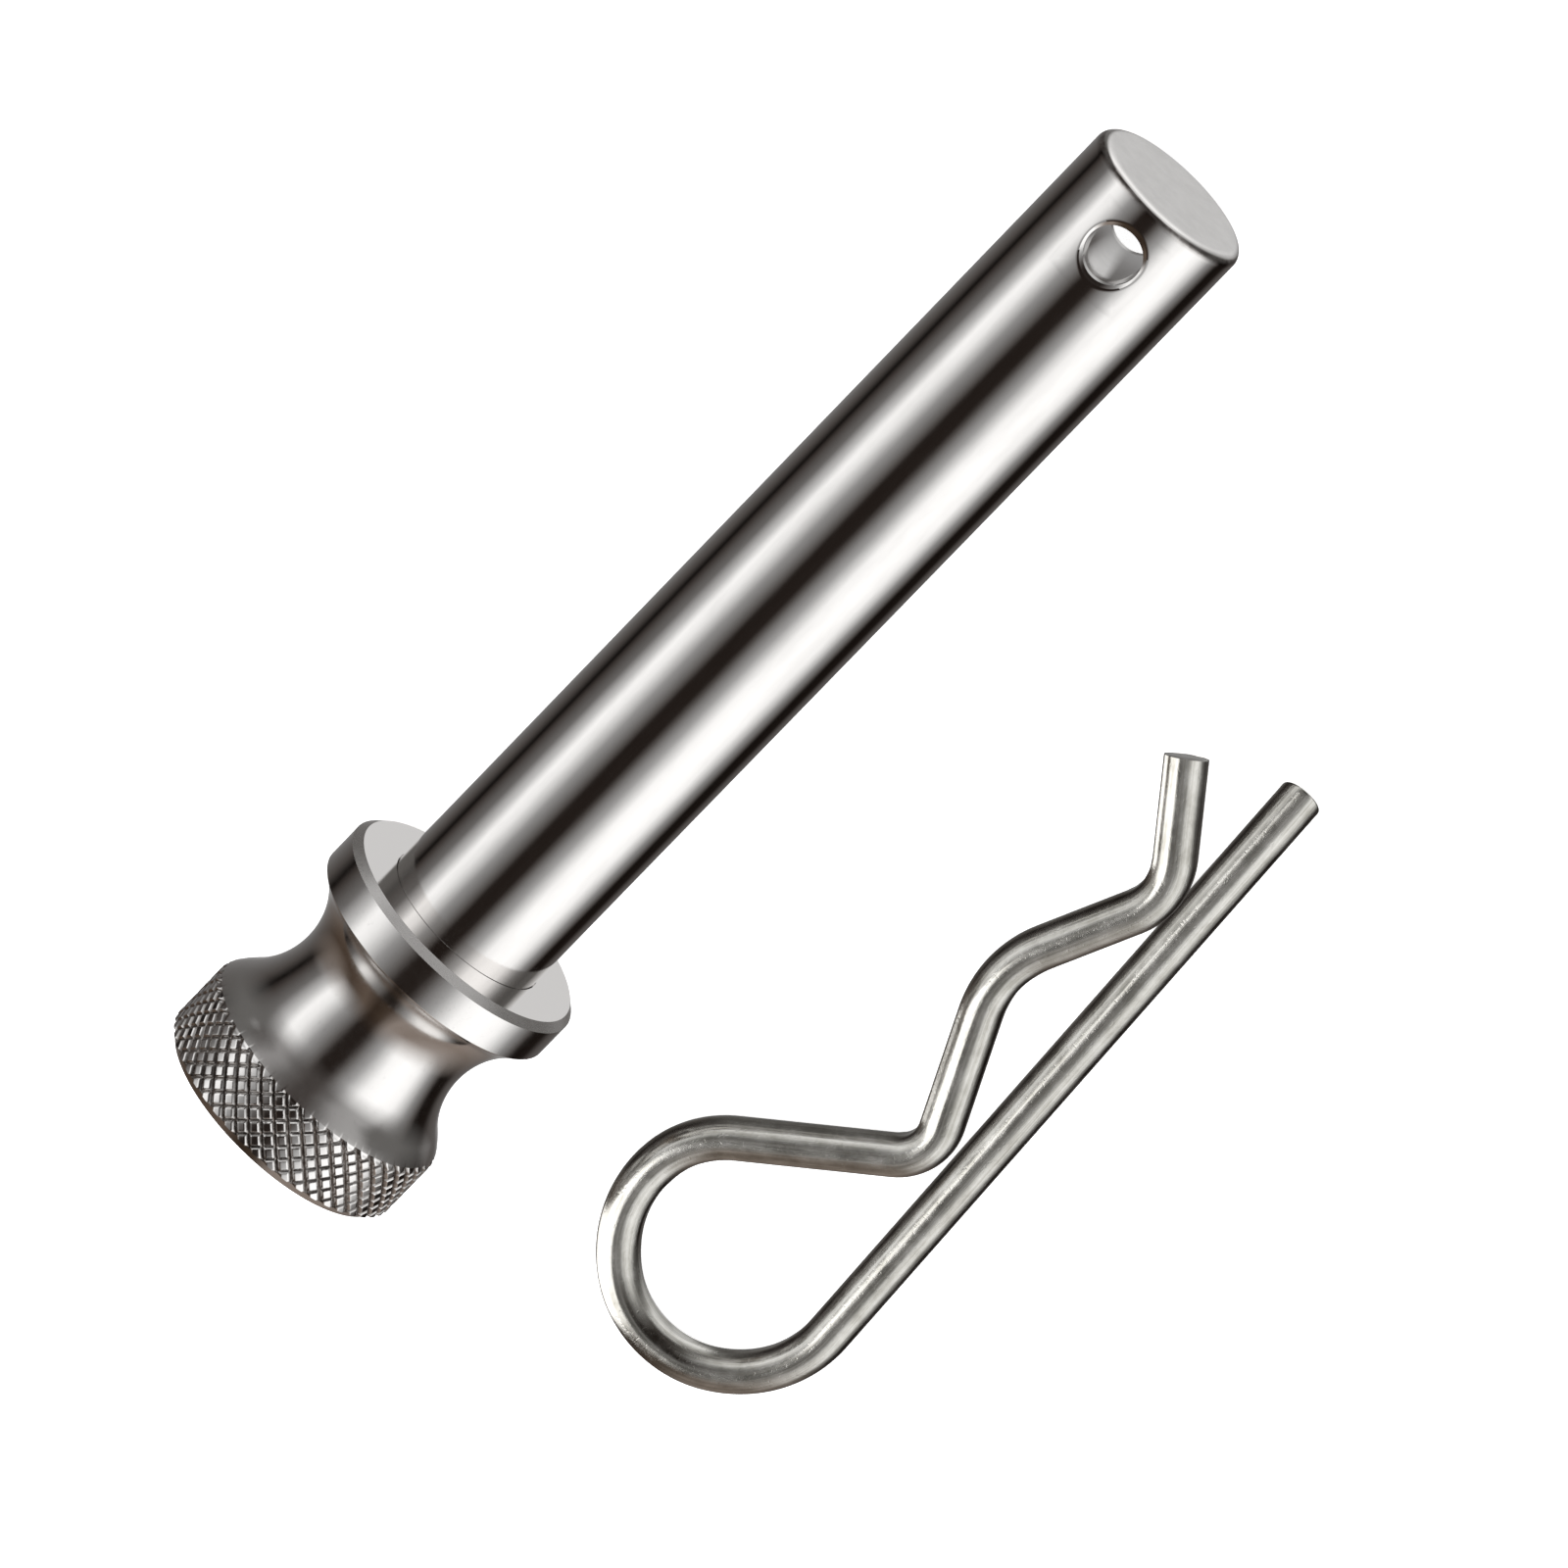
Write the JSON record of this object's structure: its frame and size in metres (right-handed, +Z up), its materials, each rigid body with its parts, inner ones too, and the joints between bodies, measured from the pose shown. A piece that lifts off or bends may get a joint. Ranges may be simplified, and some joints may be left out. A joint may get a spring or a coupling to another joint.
{
  "type": "hitch pin with retaining clip",
  "caption": "Straight steel hitch pin with a knurled grip, collar and cross-drilled tip, lying beside the sprung wire R-clip that locks it.",
  "frame": {"origin": "middle of the footprint, on the surface both pieces lie on", "axes": "+X from the pin's head towards its tip, +Y from the clip towards the pin, +Z up"},
  "size_m": [0.1173, 0.0621, 0.0261],
  "materials": {
    "turned_steel": "turned and knurled, bright",
    "polished_steel": "polished",
    "spring_wire": "drawn wire, satin"
  },
  "bodies": {
    "pin": {"pin_head": "turned_steel", "pin_shank": "polished_steel"},
    "clip": {"clip_straight_leg": "spring_wire"},
    "clip_spring": {"clip_spring_leg": "spring_wire"}
  },
  "joints": [
    {"name": "clip_withdraw", "type": "slide", "parent": "pin", "child": "clip", "axis": [-0.9984, -0.0558, 0], "range_m": [0, 0.075]},
    {"name": "clip_flex", "type": "hinge", "parent": "clip", "child": "clip_spring", "pos_m": [-0.0513, -0.0125, 0.00198], "axis": [0, 0, 1], "range_deg": [0, 10], "stiffness_Nm_per_rad": 3}
  ]
}
